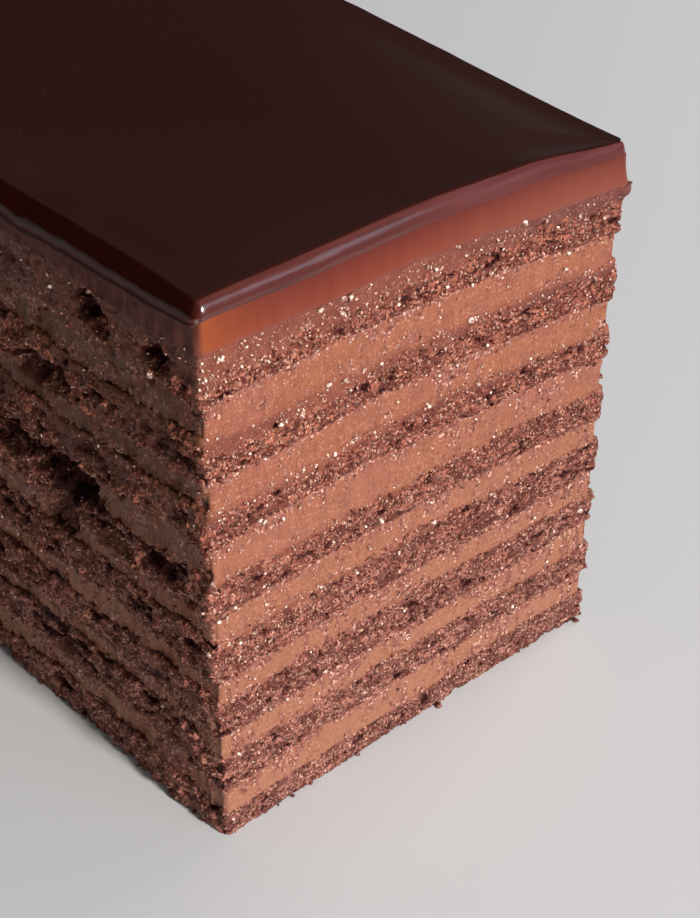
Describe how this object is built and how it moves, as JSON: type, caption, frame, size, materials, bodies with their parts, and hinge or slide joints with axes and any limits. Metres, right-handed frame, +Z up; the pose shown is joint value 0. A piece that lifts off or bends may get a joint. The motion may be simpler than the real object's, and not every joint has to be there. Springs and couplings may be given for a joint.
{
  "type": "opera cake",
  "caption": "Tall rectangular block of layered chocolate opera cake: dark sponge and chocolate cream in turn under ganache and a mirror glaze, cut at the front.",
  "frame": {"origin": "under the middle of the block's bounding box, at the level of the underside", "axes": "+Z up; the cut front faces -Y and the long torn side faces -X; the block's length runs along Y"},
  "size_m": [0.0774, 0.1634, 0.0879],
  "materials": {
    "sponge": "open, moist chocolate crumb",
    "cream": "smooth cut chocolate cream",
    "ganache": "smooth, slightly shiny ganache",
    "glaze": "mirror-smooth dark glaze"
  },
  "bodies": {
    "root": {"sponge_1": "sponge", "cream_1": "cream", "sponge_2": "sponge", "cream_2": "cream", "sponge_3": "sponge", "cream_3": "cream", "sponge_4": "sponge", "cream_4": "cream", "sponge_5": "sponge", "cream_5": "cream", "sponge_6": "sponge", "cream_6": "cream", "sponge_7": "sponge", "cream_7": "cream", "sponge_8": "sponge", "ganache": "ganache", "glaze": "glaze"}
  },
  "joints": []
}
